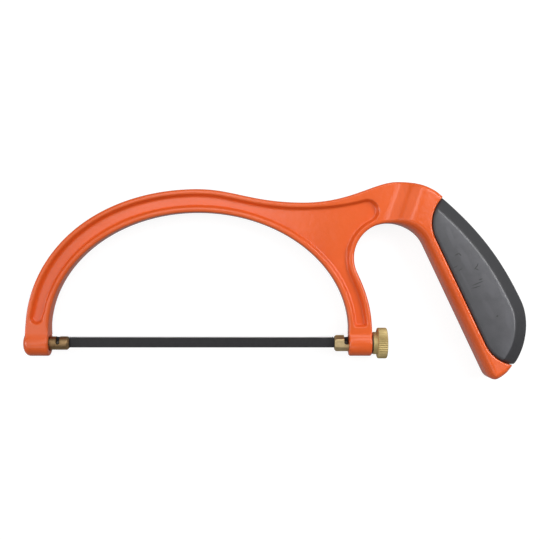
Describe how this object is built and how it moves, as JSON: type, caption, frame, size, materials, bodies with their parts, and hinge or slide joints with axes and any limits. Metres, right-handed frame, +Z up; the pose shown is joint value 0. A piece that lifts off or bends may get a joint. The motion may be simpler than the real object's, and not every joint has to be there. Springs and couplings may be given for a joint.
{
  "type": "junior hacksaw",
  "caption": "Small bow-framed hacksaw with a rubber-backed pistol handle and a short pin-ended blade that a knurled thumb nut draws tight.",
  "frame": {"origin": "On the table under the middle of the saw, which lies on its side.", "axes": "+X along the blade from the front of the bow to the handle, +Y from the blade to the top of the bow, +Z up from the table."},
  "size_m": [0.254, 0.0994, 0.021],
  "materials": {
    "paint": "gloss enamel on a light-alloy casting",
    "rubber": "matte",
    "tarnished_brass": "tarnished, machined",
    "brass": "machined, knurled",
    "steel": "dull",
    "blackened_steel": "black oxide"
  },
  "bodies": {
    "frame": {"frame": "paint", "grip": "rubber", "front_holder": "tarnished_brass", "thrust_washer": "steel"},
    "rear_holder": {"rear_holder": "tarnished_brass"},
    "nut": {"thumb_nut": "brass"},
    "blade": {"blade": "blackened_steel", "front_blade_pin": "steel", "rear_blade_pin": "steel"}
  },
  "joints": [
    {"name": "nut_spin", "type": "hinge", "parent": "frame", "child": "nut", "pos_m": [0.0538, -0.03186, 0.0105], "axis": [1, 0, 0], "range_deg": [0, 1440]},
    {"name": "holder_slide", "type": "slide", "parent": "frame", "child": "rear_holder", "axis": [-1, 0, 0], "range_m": [0, 0.004]},
    {"name": "blade_lift", "type": "slide", "parent": "frame", "child": "blade", "axis": [0, 1, 0], "range_m": [0, 0.0066]}
  ],
  "couplings": [
    {"joint": "holder_slide", "follows": "nut_spin", "m_per_rad": 0.00015915}
  ]
}
